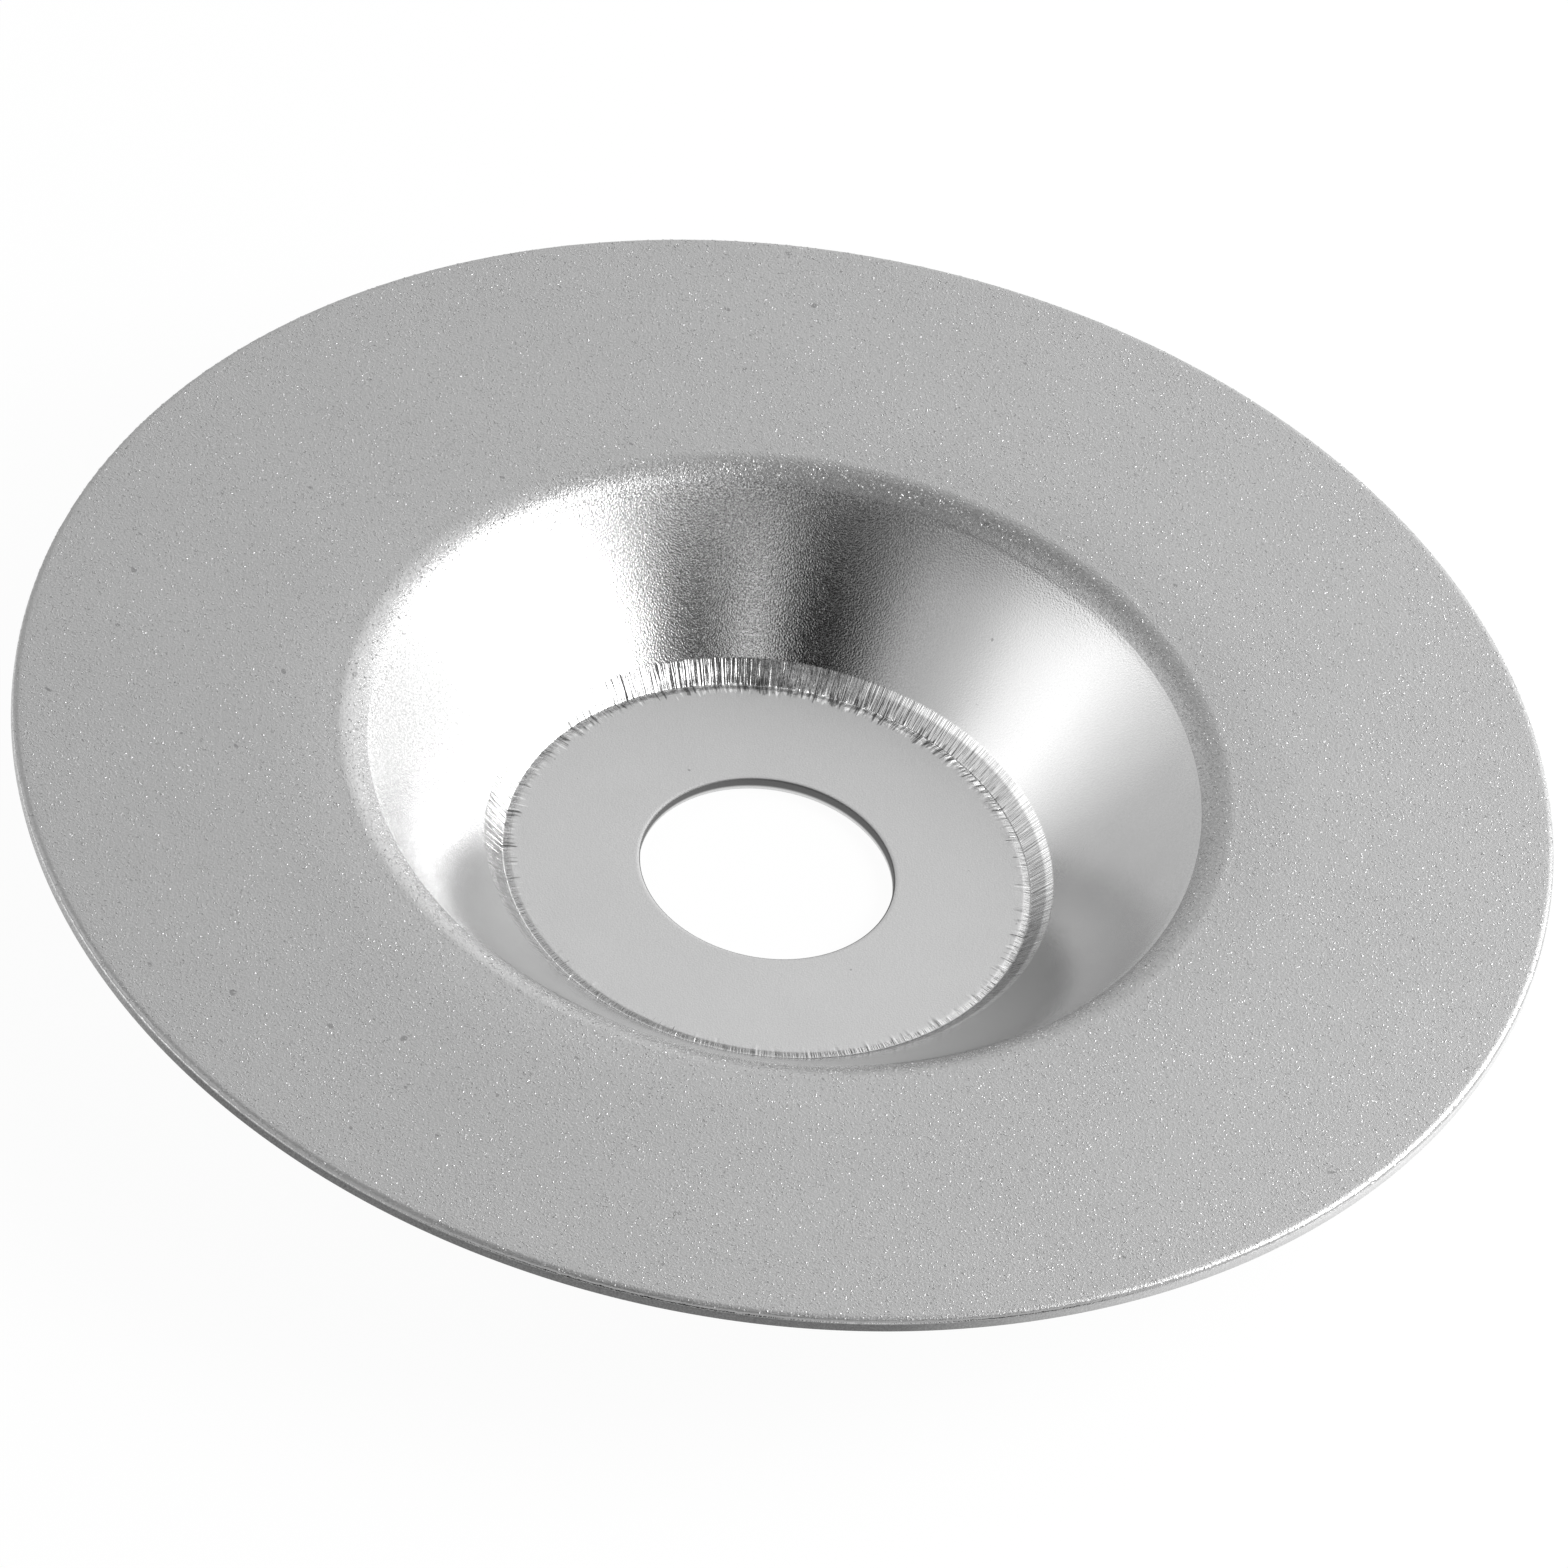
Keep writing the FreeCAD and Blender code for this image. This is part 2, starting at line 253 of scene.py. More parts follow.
steel_turn = np.linspace(0, 2 * math.pi, STEEL_TURNS, endpoint=False)
steel_normal = profile_normals(steel_profile)
marks = drawing_marks(steel_profile, steel_turn, np.random.default_rng(11))
steel_drop = np.where(steel_profile[:, 1:] > flange_back, shoulder(steel_profile[:, :1]), 0)
dish = ring_mesh("pressed_dish", turned(
    steel_profile[:, :1] + marks * steel_normal[:, :1],
    steel_profile[:, 1:] + marks * steel_normal[:, 1:] - steel_drop,
    steel_turn,
)[:, ::-1])


class Value:
    """A socket in a node tree. Arithmetic on it adds Math nodes to that tree."""

    def __init__(self, nodes, socket):
        self.nodes = nodes
        self.socket = socket

    def __add__(self, other):
        return self.nodes.math("ADD", self, other)

    def __sub__(self, other):
        return self.nodes.math("SUBTRACT", self, other)

    def __rsub__(self, other):
        return self.nodes.math("SUBTRACT", other, self)

    def __mul__(self, other):
        return self.nodes.math("MULTIPLY", self, other)

    def __truediv__(self, other):
        return self.nodes.math("DIVIDE", self, other)

    def __neg__(self):
        return self.nodes.math("MULTIPLY", self, -1)

    __radd__ = __add__
    __rmul__ = __mul__


class Nodes:
    """The node tree of a material, a world or a lamp."""

    def __init__(self, owner):
        owner.use_nodes = True
        self.tree = owner.node_tree
        self.tree.nodes.clear()

    def add(self, kind, settings=None, output=0, **inputs):
        """A node of this type, its settings made first, then its sockets. Gives one output.

        An input's name is its socket's name with _ for a space, or _ and its number.
        """
        node = self.tree.nodes.new(kind)
        for name, setting in (settings or {}).items():
            if name == "stops":
                self.set_stops(node.color_ramp, setting)
            else:
                setattr(node, name, setting)
        for name, content in inputs.items():
            key = int(name[1:]) if name[0] == "_" else name.replace("_", " ")
            if isinstance(content, Value):
                self.tree.links.new(content.socket, node.inputs[key])
            else:
                node.inputs[key].default_value = content
        return Value(self, node.outputs[output]) if node.outputs else None

    def set_stops(self, ramp, stops):
        """Fills a colour ramp with (position, brightness) stops."""
        while len(ramp.elements) < len(stops):
            ramp.elements.new(1)
        for element, (position, brightness) in zip(ramp.elements, stops):
            element.position = position
            element.color = (brightness, brightness, brightness, 1)

    def math(self, operation, *values):
        sockets = {f"_{number}": value for number, value in enumerate(values)}
        return self.add("ShaderNodeMath", {"operation": operation}, **sockets)

    def between(self, value, low, high, to_low=0.0, to_high=1.0):
        """Smooth step of a value from low to high, scaled to a second range."""
        return self.add("ShaderNodeMapRange", {"interpolation_type": "SMOOTHSTEP"},
                        _0=value, _1=low, _2=high, _3=to_low, _4=to_high)

    def below(self, value, low, high):
        """Smooth step the other way: 1 up to low, and 0 from high on."""
        return 1 - self.between(value, low, high)

    def noise(self, place, scale, detail=2.0, roughness=0.5):
        return self.add("ShaderNodeTexNoise", Vector=place, Scale=scale, Detail=detail,
                        Roughness=roughness)

    def by_turn(self, turn, stops):
        """Level that follows stops of (degrees, level) round the axis, from -180 to 180."""
        stops = [(degrees / 360 + 0.5, level) for degrees, level in stops]
        return self.add("ShaderNodeValToRGB", {"stops": stops}, Fac=turn / (2 * math.pi) + 0.5)

    def vector(self, x, y, z):
        return self.add("ShaderNodeCombineXYZ", _0=x, _1=y, _2=z)

    def grey(self, value):
        """Colour with this brightness in all three channels."""
        return self.add("ShaderNodeCombineColor", _0=value, _1=value, _2=value)

    def place(self):
        """x, y and z on the piece, in metres, with the place itself first."""
        place = self.add("ShaderNodeTexCoord", output="Object")
        return place, *(self.add("ShaderNodeSeparateXYZ", output=n, Vector=place) for n in range(3))

    def bump(self, height, strength, distance):
        return self.add("ShaderNodeBump", Height=height, Strength=strength, Distance=distance)

    def surface(self, **inputs):
        """Principled surface that ends the tree."""
        shader = self.add("ShaderNodeBsdfPrincipled", **inputs)
        self.add("ShaderNodeOutputMaterial", Surface=shader)


# How each part of the finish varies round the wheel, as stops of (degrees, level). Grain is coarsest
# at the back left, and the band's lip has a painted highlight where the grain is fine. The marks'
# painted shade and glints are strongest at the back. The band and its foot carry painted shade that
# is deepest at the back left, the low wall has painted shade at the front, and the rim's cut edge
# has painted shade at the front and a painted highlight at the right.
GRAIN_AND_LIP_LIGHT_BY_TURN = [(-180, 1.0), (-165, 0.5), (-110, 0.4), (-30, 0.15), (64, 0.1), (84, 0.9),
                 (180, 1.0)]
MARK_SHADE_AND_GLINTS_BY_TURN = [(-180, 0.75), (-150, 0.5), (-120, 0.25), (-60, 0.2), (-35, 0.3), (-20, 0.6),
                 (35, 0.6), (45, 0.9), (100, 1.0), (118, 0.8), (180, 0.75)]
FOOT_SHADE_BY_TURN = [(-175, 0.85), (-160, 1.0), (60, 1.0), (85, 0.95), (100, 0.8), (125, 0.7),
                (150, 0.6), (180, 0.85)]
BAND_SHADE_BY_TURN = [(20, 0.8), (40, 0.67), (60, 0.75), (80, 0.9), (92, 0.95), (104, 0.62), (122, 0.5),
                (140, 0.55), (155, 0.8)]
LOW_WALL_SHADE_BY_TURN = [(-145, 0.0), (-110, 1.0), (-70, 1.0), (-40, 0.0)]
RIM_SHADE_AND_HIGHLIGHT_BY_TURN = [(-160, 0.6), (-145, 0.45), (-130, 0.2), (-75, 0.2), (-57, 0.65), (-30, 0.95),
               (40, 0.95), (80, 0.65), (180, 0.6)]
STEEL_TONE = 0.58
STEEL_ROUGHNESS = 0.17
MARKS_START = 16.4 * MM
MARKS_END = 17.6 * MM
FOOT_START = 17.15 * MM
FOOT_END = 17.75 * MM
LOW_WALL_TOP = 24.0 * MM


def satin_steel():
    """Satin plated steel: grain all over, and a band in the hub's corner that the tool has marked.

    Its tone is the steel's own, with a painted highlight on the band's lip, times one factor for
    each of the band, the band's foot, the low wall, the marks, the cut edges and the pits. Only the
    pits are the steel's real colour. The other factors are painted shade, with painted glints on the
    marks, a painted highlight on the rim's cut edge and painted light low in the bore. Most of these
    factors go by the turn.
    """
    material = bpy.data.materials.new("satin_steel")
    nodes = Nodes(material)
    place, x, y, z = nodes.place()
    radius = nodes.math("SQRT", x * x + y * y)
    turn = nodes.math("ARCTAN2", y, x)
    out_x, out_y = x / radius, y / radius

    def wound(per_radian, along):
        """Place for a noise that runs round the wheel without a seam."""
        return nodes.vector(out_x * per_radian, out_y * per_radian, along)

    on_front = nodes.between(z, 0.8 * SHEET, 0.95 * SHEET)
    in_corner = nodes.between(radius, groove[0] - 0.65 * MM, groove[0] - 0.15 * MM)
    on_hub = 1 - in_corner
    in_band = in_corner * nodes.below(radius, BAND_RADIUS - 0.15 * MM, BAND_RADIUS) * on_front
    # Painted highlight on the band's lip, which turns to painted shade where the grain is coarsest.
    painted_lip_light = in_band * nodes.between(radius, BAND_RADIUS - 0.6 * MM, BAND_RADIUS - 0.4 * MM)

    cloud = nodes.noise(place, 260.0, 3.0)
    grain = nodes.noise(place, 8800.0, 1.0)
    lathe_rings = nodes.noise(wound(4.0, (radius + z) * 7000.0), 1.0)
    # Grain level round the wheel. It also sets the painted highlight on the band's lip.
    grain_and_lip_light = nodes.by_turn(turn, GRAIN_AND_LIP_LIGHT_BY_TURN)
    frosted = nodes.between(radius, bend_centre[0] - 4.0 * MM, bend_centre[0] - 1.8 * MM)
    hazed = nodes.between(radius + (grain - 0.5) * 2.4 * MM, bend_centre[0] - 2.9 * MM,
                          bend_centre[0] - 2.2 * MM)
    ridges = nodes.noise(wound(150.0, radius * 300.0), 1.0, 2.0, 0.6)
    grain_height = (grain_and_lip_light * 1.8 + frosted * 1.2 + 0.4) * in_corner + on_hub
    height = (grain * grain_height * (1 - in_band * 0.8) + lathe_rings * 0.15
              + (ridges - 0.5) * in_band * 8.5)

    # The tool marks are real and uneven round the wheel. Their dark and light streaks in the colour
    # are painted shade and painted glints, strongest at the back.
    mark_shade_and_glints = nodes.by_turn(turn, MARK_SHADE_AND_GLINTS_BY_TURN)
    scores = nodes.noise(wound(75.0, radius * 250.0), 1.0, 3.0, 0.6)
    length = (nodes.noise(wound(60.0, 0.0), 1.0) - 0.5) * 1.6 * MM
    across = (nodes.between(radius + length, MARKS_START, MARKS_START + 0.2 * MM)
              * nodes.below(radius - length, MARKS_END - 0.25 * MM, MARKS_END) * on_front)
    mark_edge = 0.7 - mark_shade_and_glints * 0.17
    painted_mark_shade = nodes.between(scores, mark_edge, mark_edge + 0.05) * across
    painted_mark_glints = nodes.between(1 - scores, mark_edge, mark_edge + 0.05) * across * mark_shade_and_glints
    painted_mark_light = (1 - painted_mark_shade * 0.65) * (1 + painted_mark_glints * 0.6)

    # Painted shade on the band above its foot, deepest towards the back left.
    above_foot = nodes.between(radius, FOOT_START, FOOT_START + 0.3 * MM)
    painted_band_shade = 1 - in_band * above_foot * (1 - nodes.by_turn(turn, BAND_SHADE_BY_TURN) * 1.1)
    # Painted shade at the foot of the band, in the corner by the groove, deepest at the back left.
    at_foot = (nodes.between(radius, FOOT_START, FOOT_START + 0.15 * MM)
               * nodes.below(radius + length * 0.3, FOOT_END - 0.15 * MM, FOOT_END) * on_front)
    painted_foot_shade = 1 - at_foot * (1 - nodes.by_turn(turn, FOOT_SHADE_BY_TURN))
    # Painted shade on the low part of the wall at the front.
    on_low_wall = nodes.between(radius, LOW_WALL_TOP, LOW_WALL_TOP - 4.0 * MM) * in_corner
    painted_wall_shade = 1 - nodes.by_turn(turn, LOW_WALL_SHADE_BY_TURN) * on_low_wall * 0.25

    # Painted shade and painted highlight on the cut edges: the rim's cut edge is shaded at the front
    # and lit at the right, and the bore's wall is shaded high up and painted lighter low down.
    rim_cut = (nodes.between(radius, rim_radius - 0.12 * MM, rim_radius - 0.05 * MM)
               * nodes.below(z, flange_face - 0.75 * ROLLED_EDGE, flange_face - 0.5 * ROLLED_EDGE))
    bore_cut = (nodes.below(radius, bore_radius + 0.05 * MM, bore_radius + 0.12 * MM)
                * nodes.between(z, 0.25 * SHEET, 0.5 * SHEET, -0.4))
    cut_edge_painted_light = (1 - bore_cut * 0.7) * (1 + rim_cut * (nodes.by_turn(turn, RIM_SHADE_AND_HIGHLIGHT_BY_TURN) * 1.5 - 1))
    pits = nodes.between(nodes.noise(place, 1500.0, 1.0), 0.8, 0.83)

    # The steel's tone with its real grain, plus the painted highlight on the band's lip.
    steel_tone = (STEEL_TONE + (cloud - 0.5) * 0.05 + painted_lip_light * (0.5 - grain_and_lip_light * 0.7) - on_hub * 0.05
                  + (grain - 0.5) * (grain_and_lip_light * in_corner * (0.7 + frosted) + on_hub * 0.1))
    # The colour is the steel's tone times the painted shade, glints and highlights above, and the
    # pits.
    nodes.surface(
        Base_Color=nodes.grey(steel_tone * painted_band_shade * (painted_foot_shade * painted_wall_shade) * painted_mark_light
                              * cut_edge_painted_light * (1 - pits * 0.35)),
        Metallic=1.0,
        Roughness=(STEEL_ROUGHNESS + on_hub * 0.2 + (rim_cut + bore_cut) * 0.2 + hazed * 0.04
                   + (cloud - 0.5) * 0.05),
        Specular_Tint=(0.9, 0.9, 0.9, 1),
        Normal=nodes.bump(height, 1.0, 0.008 * MM),
    )
    return material


dish.data.materials.append(satin_steel())
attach(dish, "root")
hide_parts("pressed_steel_dish")


# Nickel bond
# Nickel electroplated on the front of the flange. It thins out to nothing round the bend to the
# wall, and goes over the rolled edge of the rim to end there in a slightly ragged line.

NICKEL = 0.1 * MM
BEND_END = math.radians(36)
BEND_TAPER = math.radians(30)
ROLL_END = math.radians(55)
ROLL_TAPER = math.radians(15)
PAST_END = 1.2
UNDERSIDE = -0.2 * NICKEL
COAT_TONE = 0.4
COAT_BEND = (28.0 * MM, 29.2 * MM)
NICKEL_TURNS = 1080

nickel_turn = np.linspace(0, 2 * math.pi, NICKEL_TURNS, endpoint=False)
roll_centre = (rim_radius - ROLLED_EDGE, flange_face - ROLLED_EDGE)


def ragged(turn, random, waves):
    """Sum of sine waves round the turn, whole numbers of them, random in size and phase."""
    phase = random.uniform(0, 2 * math.pi, len(waves))
    size = random.normal(0, 1, len(waves)) / math.sqrt(len(waves))
    return np.sin(turn[..., None] * waves + phase) @ size


def coat(lean, end, taper):
    """Thickness of the nickel at a lean: full, thinner in a line to its end, and sunk past it."""
    return NICKEL * np.clip((end - lean) / taper, -0.1, 1)


def round_bend(lean, thickness):
    """Place on the bend that leans in to the wall, this far above the steel."""
    reach = bend_front + thickness
    return bend_centre[0] - reach * np.sin(lean), bend_centre[1] + reach * np.cos(lean)


def round_roll(lean, thickness):
    """Place on the rolled edge that leans out to the rim, this far above the steel."""
    reach = ROLLED_EDGE + thickness
    return roll_centre[0] + reach * np.sin(lean), roll_centre[1] + reach * np.cos(lean)


def nickel_grid(turn, random):
    """Closed section of the layer on a grid: out along the steel, then back over its face.

    Both ends run on a little way inside the steel, so that no fold of the layer shows. The place
    where it comes out on the rolled edge moves with the turn.
    """
    even = np.ones_like(turn)
    bend = np.linspace(BEND_END * PAST_END, 0, 18)[:, None] * even
    roll = np.linspace(0, ROLL_END * PAST_END, 10)[:, None] * even
    roll_end = ROLL_END * (1 + 0.06 * ragged(turn, random, np.arange(40, 480, 7)))
    flat = np.linspace(bend_centre[0], roll_centre[0], 44)[1:-1, None] * even
    under = [round_bend(bend[::3], UNDERSIDE), round_roll(roll, UNDERSIDE)]
    over = [
        round_roll(roll[::-1], coat(roll[::-1], roll_end, ROLL_TAPER)),
        (flat[::-1], flange_face + NICKEL + 0 * flat),
        round_bend(bend[::-1], coat(bend[::-1], BEND_END, BEND_TAPER)),
    ]
    radius, height = (np.concatenate([part[n] for part in under + over]) for n in range(2))
    return radius, height - shoulder(radius)


nickel = ring_mesh("nickel_coat", turned(*nickel_grid(nickel_turn, np.random.default_rng(5)),
                                         nickel_turn)[:, ::-1])


def bend_share(nodes, x, y):
    """1 on the bend, and 0 on the flat of the flange."""
    return nodes.below(nodes.math("SQRT", x * x + y * y), *COAT_BEND)


def matt_nickel():
    """Matt grey nickel that has grown round the crystals, so its face is finely pitted."""
    material = bpy.data.materials.new("matt_nickel")
    nodes = Nodes(material)
    place, x, y, _ = nodes.place()
    lumps = nodes.noise(place, 5500.0, 3.0, 0.7)
    cloud = nodes.noise(place, 90.0, 3.0)
    specks = nodes.between(nodes.noise(place, 900.0, 1.0), 0.76, 0.79)
    on_bend = bend_share(nodes, x, y)
    nodes.surface(
        Base_Color=nodes.grey((COAT_TONE + (lumps - 0.5) * (0.12 + on_bend * 0.4)
                               + (cloud - 0.5) * 0.03) * (1 - specks * 0.35)),
        Metallic=0.8,
        Roughness=0.42 - on_bend * 0.15,
        Normal=nodes.bump(lumps * (1 + on_bend * 0.2), 1.0, 0.04 * MM),
    )
    return material


nickel.data.materials.append(matt_nickel())
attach(nickel, "root")
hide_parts("nickel_bond")


# Diamond grit
# One layer of small diamond crystals, set side by side in the nickel that holds their lower
# halves. They lie at random, so here and there a facet catches the light.

GRIT_HEIGHT = cad_high.z - flange_face - NICKEL
GRIT_WIDTHS = (0.11 * MM, 0.19 * MM)
GRIT_PIECES = 4
GRIT_IN_PIECE = 24000
GRIT_END = math.radians(40)
GRIT_FADE = math.radians(14)
bend_reach = bend_front + NICKEL
roll_reach = ROLLED_EDGE + NICKEL


def scattered(count, inner, outer, random):
    """Places on the coating with their normals, and how far each is on the bend, from 0 to 1.

    They lie even by area along the face, and get sparser from the bend to the bare wall. The way
    along the face is the radius on the flat, and the arc on the bend or the rolled edge beside it.
    """
    way = np.sqrt(random.uniform(inner**2, outer**2, count))
    kept = (GRIT_END - (bend_centre[0] - way) / bend_reach) / GRIT_FADE
    way = way[random.uniform(0, 1, count) < kept]
    turn = random.uniform(0, 2 * math.pi, len(way))
    lean_in = np.clip((bend_centre[0] - way) / bend_reach, 0, GRIT_END)
    lean_out = np.clip((way - roll_centre[0]) / roll_reach, 0, ROLL_END)
    bend_out, bend_up = round_bend(lean_in, coat(lean_in, BEND_END, BEND_TAPER))
    roll_out, roll_up = round_roll(lean_out, coat(lean_out, ROLL_END, ROLL_TAPER))
    out = np.where(lean_in > 0, bend_out, np.where(lean_out > 0, roll_out, way))
    up = np.where(lean_in > 0, bend_up, roll_up) - shoulder(out)
    lean = lean_out - lean_in
    return turned(out, up, turn), turned(np.sin(lean), np.cos(lean), turn), lean_in / GRIT_END


def crystals(name, place, normal, width, height, random):
    """Octahedra squashed to each height: four corners round the waist, one above and one below."""
    count = len(place)
    start = random.normal(size=(count, 3))
    side = np.cross(normal, start)
    side /= np.linalg.norm(side, axis=1)[:, None]
    other = np.cross(normal, side)
    angle = np.arange(4) * math.pi / 2 + random.uniform(-0.35, 0.35, (count, 4))
    reach = width[:, None] / 2 * random.uniform(0.75, 1.2, (count, 4))
    waist = place[:, None] + (reach * np.cos(angle))[..., None] * side[:, None]
    waist += (reach * np.sin(angle))[..., None] * other[:, None]
    rise = random.uniform(-0.25, 0.25, (count, 4)) * height[:, None]
    waist += rise[..., None] * normal[:, None]
    drift = random.uniform(-0.25, 0.25, (count, 2)) * width[:, None]
    top = place + height[:, None] * normal + drift[:, :1] * side + drift[:, 1:] * other
    low = place - height[:, None] * normal
    points = np.concatenate([waist, top[:, None], low[:, None]], 1)
    corner = np.arange(4)
    after = (corner + 1) % 4
    upper = np.stack([corner, after, np.full(4, 4)], 1)
    lower = np.stack([after, corner, np.full(4, 5)], 1)
    faces = np.arange(count)[:, None, None] * 6 + np.concatenate([upper, lower])
    piece = faces_mesh(name, points.reshape(-1, 3), faces.reshape(-1, 3))
    piece.data.polygons.foreach_set("use_smooth", np.zeros(len(piece.data.polygons), bool))
    return piece


def diamond():
    """Grey diamond crystal, glossier than the nickel round it, and cleanest on the bend."""
    material = bpy.data.materials.new("diamond")
    nodes = Nodes(material)
    place, x, y, _ = nodes.place()
    tint = nodes.noise(place, 4200.0, 1.0)
    on_bend = bend_share(nodes, x, y)
    nodes.surface(
        Base_Color=nodes.grey(COAT_TONE + (tint - 0.5) * (0.2 + on_bend * 0.3)),
        Metallic=0.8,
        Roughness=0.4,
    )
    return material


grit_inner = bend_centre[0] - bend_reach * GRIT_END
grit_outer = roll_centre[0] + roll_reach * ROLL_END * 0.8
grit_edges = np.sqrt(np.linspace(grit_inner**2, grit_outer**2, GRIT_PIECES + 1))
grit_material = diamond()
for number in range(GRIT_PIECES):
    grit_random = np.random.default_rng(100 + number)
    grit_place, grit_normal, on_bend = scattered(GRIT_IN_PIECE, grit_edges[number],
                                                 grit_edges[number + 1], grit_random)
    grit_width = grit_random.uniform(*GRIT_WIDTHS, len(on_bend)) * (1 + on_bend * 0.3)
    grit_share = grit_random.uniform(0.15, 0.75, len(on_bend)) ** 2
    grit_tall = grit_share * GRIT_HEIGHT * (1 + on_bend * 0.2)
    grit = crystals(f"diamond_grit_{number + 1}", grit_place, grit_normal, grit_width, grit_tall,
                    grit_random)
    grit.data.materials.append(grit_material)
    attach(grit, "root")
    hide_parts("diamond_grit")


# Floor, light and camera
# A pale floor just under the hub, a studio whose walls are bright to both sides and dark behind
# the camera, a soft box on the right, and a long lens that looks down into the dish.

FLOOR_SHARE = 0.95
FLOOR_DROP = -0.02 * MM
FLOOR_REACH = 4.0
floor_corners = np.array([[-1, -1, 0], [1, -1, 0], [1, 1, 0], [-1, 1, 0]]) * FLOOR_REACH
floor = faces_mesh("floor", floor_corners + (0, 0, FLOOR_DROP), np.array([[0, 1, 2, 3]]))


def seen_directly(nodes):
    """1 for rays from the camera, off metal and through glass, else 0."""
    path = nodes.add("ShaderNodeLightPath", output="Is Camera Ray")
    glossy = nodes.add("ShaderNodeLightPath", output="Is Glossy Ray")
    through = nodes.add("ShaderNodeLightPath", output="Is Transmission Ray")
    return nodes.math("MINIMUM", path + glossy + through, 1.0)


def pale_floor():
    """Matt pale floor that the camera and the metal see nearly white, with a faint shadow.

    It is clear from below, so that the back of the wheel can be seen.
    """
    material = bpy.data.materials.new("pale_floor")
    nodes = Nodes(material)
    matt = nodes.add("ShaderNodeBsdfDiffuse", Color=(0.85, 0.85, 0.85, 1))
    white = nodes.add("ShaderNodeEmission", Color=(1, 1, 1, 1), Strength=1.0)
    mix = nodes.add("ShaderNodeMixShader", _0=seen_directly(nodes) * FLOOR_SHARE, _1=matt, _2=white)
    below = nodes.add("ShaderNodeNewGeometry", output="Backfacing")
    clear = nodes.add("ShaderNodeBsdfTransparent")
    shown = nodes.add("ShaderNodeMixShader", _0=below, _1=mix, _2=clear)
    nodes.add("ShaderNodeOutputMaterial", Surface=shown)
    return material


floor.data.materials.append(pale_floor())


# Brightness of the studio's walls, as stops of (degrees, level): 0 is behind the camera, 90 right.
STUDIO_WALLS = [
    (-180, 1.0), (-140, 0.75), (-122, 0.8), (-110, 1.15), (-92, 1.9), (-76, 1.55), (-62, 0.9),
    (-50, 0.72), (-36, 0.64), (-28, 0.4), (-20, 0.12), (-12, 0.0), (8, 0.0), (14, 0.15),
    (20, 1.2), (28, 1.2), (34, 0.0), (46, 0.0), (57, 0.3), (65, 1.0), (74, 1.55), (82, 1.8),
    (96, 1.75), (104, 1.2), (112, 1.7), (121, 1.8), (137, 1.5), (150, 1.9), (162, 2.0),
    (171, 1.65), (177, 1.2), (180, 1.0),
]
BRIGHTEST = 2.0


def studio():
    """Studio whose walls are as bright as their direction says, under a dim ceiling.

    The ceiling is dimmer on the left, and begins higher to the front and back than to the sides.
    The camera itself sees a white backdrop in place of the walls.
    """
    world = bpy.data.worlds.new("studio")
    bpy.context.scene.world = world
    nodes = Nodes(world)
    way = nodes.add("ShaderNodeTexCoord", output="Generated")
    x, y, z = (nodes.add("ShaderNodeSeparateXYZ", output=n, Vector=way) for n in range(3))
    compass = nodes.math("ARCTAN2", x, -y)
    walls = nodes.by_turn(compass, [(turn, level / BRIGHTEST) for turn, level in STUDIO_WALLS])
    overhead = nodes.between(z - 0.25 * nodes.math("ABSOLUTE", y) + 0.1 * y, 0.69, 0.8)
    ceiling = nodes.grey(nodes.between(x, 0.12, 0.45, 0.12, 0.5))
    level = nodes.add("ShaderNodeMix", {"data_type": "RGBA"}, output=2,
                      _0=overhead, _6=walls, _7=ceiling)
    seen = nodes.add("ShaderNodeLightPath", output="Is Camera Ray")
    studio_light = nodes.add("ShaderNodeBackground", Color=level, Strength=BRIGHTEST)
    backdrop = nodes.add("ShaderNodeBackground", Color=(1, 1, 1, 1), Strength=1.0)
    mix = nodes.add("ShaderNodeMixShader", _0=seen, _1=studio_light, _2=backdrop)
    nodes.add("ShaderNodeOutputWorld", Surface=mix)


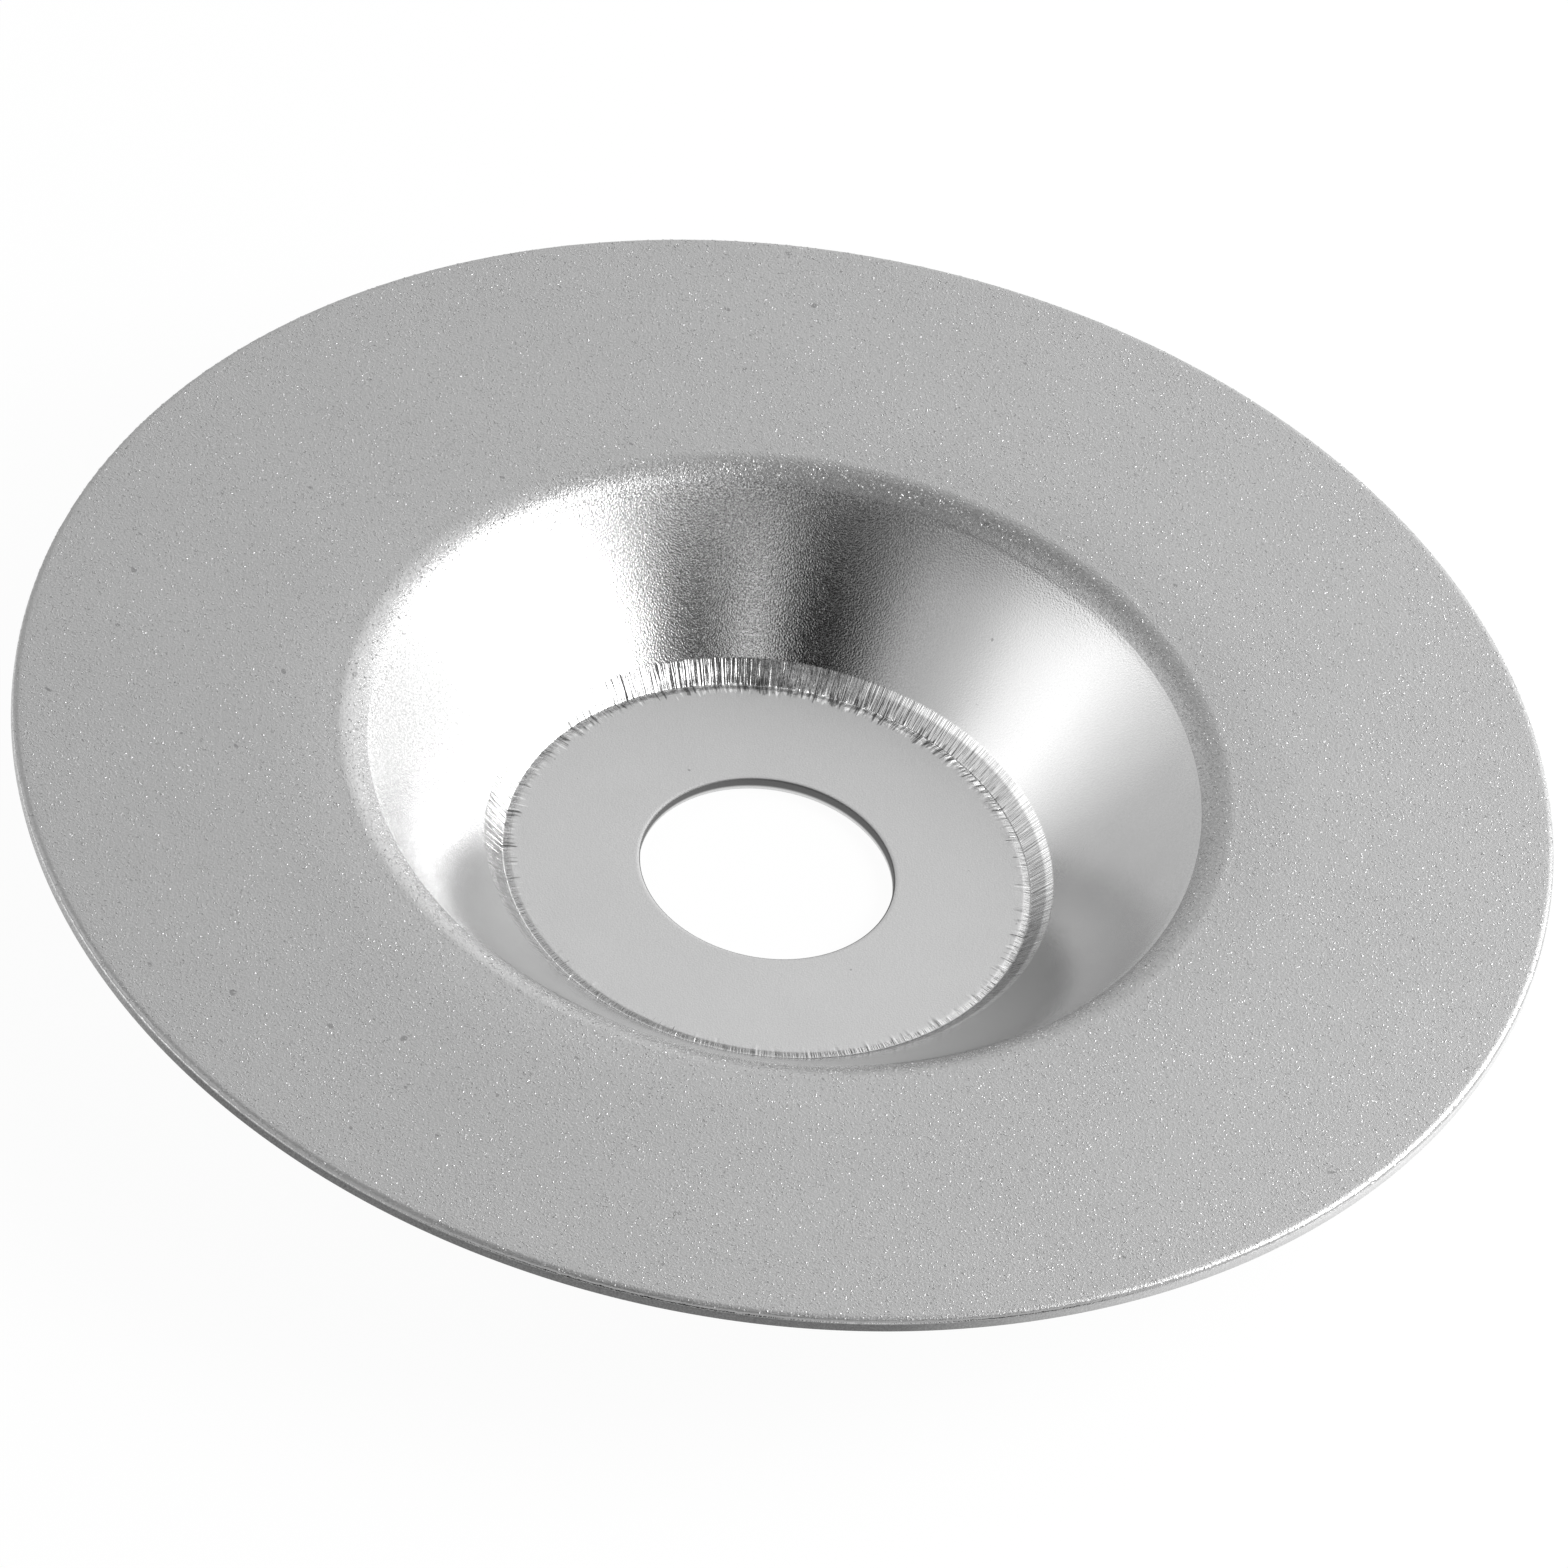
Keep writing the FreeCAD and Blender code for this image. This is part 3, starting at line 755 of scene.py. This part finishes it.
studio()


def soft_box(name, compass, rise, distance, width, height, radiance):
    """Area lamp at a compass direction from the front, tilted at the wheel, by its radiance."""
    lamp = bpy.data.lights.new(name, "AREA")
    lamp.shape = "RECTANGLE"
    lamp.size = width
    lamp.size_y = height
    lamp.energy = radiance * math.pi * width * height
    box = bpy.data.objects.new(name, lamp)
    bpy.context.scene.collection.objects.link(box)
    turn, lift = math.radians(compass), math.radians(rise)
    way = Vector((math.sin(turn), -math.cos(turn), 0)) * math.cos(lift)
    way.z = math.sin(lift)
    facing = way.to_track_quat("Z", "Y").to_matrix().to_4x4()
    box.matrix_world = Matrix.Translation(way * distance) @ facing
    box.visible_camera = False


soft_box("right_soft_box", compass=98, rise=30, distance=0.25, width=0.15, height=0.15,
         radiance=10.0)

VIEW_HEIGHT = math.radians(43.2)
VIEW_ROLL = math.radians(10.37)
VIEW_DISTANCE = 0.836
LENS_PER_WIDTH = 8.290816
AIM_RIGHT = -0.25 * MM
AIM_UP = -1.85 * MM


def look_down():
    """Camera in front of the wheel, raised and rolled, aimed just below the flange's centre."""
    level_right = Vector((1, 0, 0))
    level_up = Vector((0, math.sin(VIEW_HEIGHT), math.cos(VIEW_HEIGHT)))
    back = Vector((0, -math.cos(VIEW_HEIGHT), math.sin(VIEW_HEIGHT)))
    right = level_right * math.cos(VIEW_ROLL) + level_up * math.sin(VIEW_ROLL)
    up = level_up * math.cos(VIEW_ROLL) - level_right * math.sin(VIEW_ROLL)
    aim = Vector((0, 0, cad_high.z)) + right * AIM_RIGHT + up * AIM_UP
    lens = bpy.data.cameras.new("camera")
    lens.sensor_width = 36
    lens.lens = lens.sensor_width * LENS_PER_WIDTH
    camera = bpy.data.objects.new("camera", lens)
    bpy.context.scene.collection.objects.link(camera)
    turn = Matrix((right, up, back)).transposed().to_4x4()
    camera.matrix_world = Matrix.Translation(aim + back * VIEW_DISTANCE) @ turn
    bpy.context.scene.camera = camera


look_down()
bpy.context.scene.view_settings.view_transform = "Standard"
